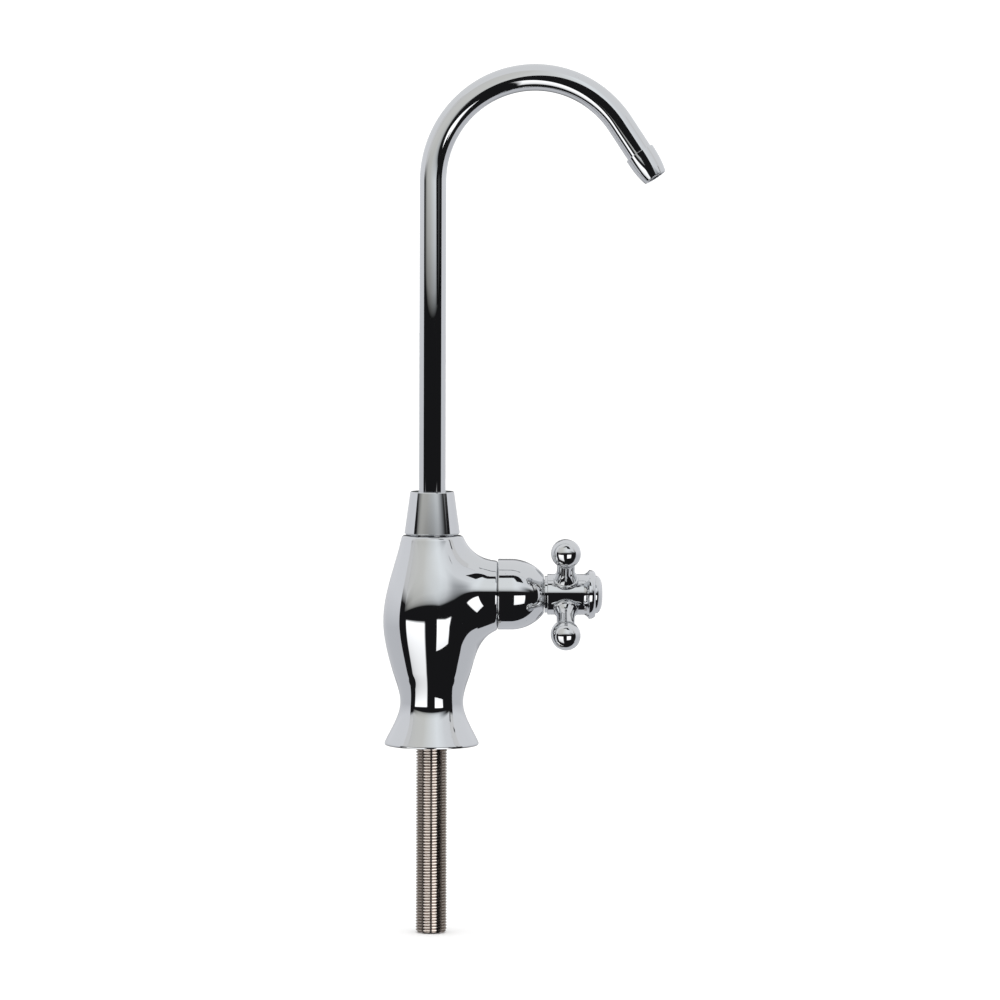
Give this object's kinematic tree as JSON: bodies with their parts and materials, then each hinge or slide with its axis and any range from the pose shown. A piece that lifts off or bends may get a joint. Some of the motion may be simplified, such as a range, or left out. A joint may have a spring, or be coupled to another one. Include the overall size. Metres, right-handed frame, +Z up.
{
  "type": "drinking water filter tap",
  "caption": "Deck-mounted filter tap with a flared cast body, side valve with ball-ended cross handle, swivelling gooseneck spout and threaded shank.",
  "frame": {"origin": "centre of the foot's underside, on the worktop, on the shank's axis", "axes": "+Z up along the shank and spout, +X along the valve from the body to the handle"},
  "size_m": [0.1003, 0.0423, 0.313],
  "materials": {
    "chrome": "polished chrome plate",
    "shank_metal": "nickel-plated thread, slightly dull",
    "brass": "machined brass",
    "ceramic": "lapped ceramic",
    "rubber": "moulded rubber",
    "plastic": "plain moulded plastic",
    "steel": "stainless steel"
  },
  "bodies": {
    "tap_body": {"body_casting": "chrome", "threaded_shank": "shank_metal", "shank_seal": "rubber", "base_seal": "rubber", "cartridge_body": "brass", "cartridge_seal": "rubber", "seat_seal": "rubber", "fixed_disc": "ceramic", "bonnet": "chrome", "spout_collar": "chrome", "swivel_washer_lower": "plastic", "swivel_washer_upper": "plastic"},
    "handle": {"spindle": "brass", "moving_disc": "ceramic", "thrust_washer": "plastic", "spindle_o_ring_inner": "rubber", "spindle_o_ring_outer": "rubber", "spindle_clip": "steel", "handle_hub": "chrome", "handle_arm_1": "chrome", "handle_arm_2": "chrome", "handle_arm_3": "chrome", "handle_arm_4": "chrome", "handle_screw": "steel", "handle_cap": "chrome"},
    "spout": {"spout_tube": "chrome", "spout_spigot": "brass", "spout_o_ring_lower": "rubber", "spout_o_ring_upper": "rubber", "nozzle_tip": "chrome"}
  },
  "joints": [
    {"name": "handle_turn", "type": "hinge", "parent": "tap_body", "child": "handle", "pos_m": [0, 0, 0.0546], "axis": [1, 0, 0], "range_deg": [0, 90]},
    {"name": "spout_swivel", "type": "hinge", "parent": "tap_body", "child": "spout", "pos_m": [0, 0, 0.09], "axis": [0, 0, 1], "continuous": true}
  ]
}
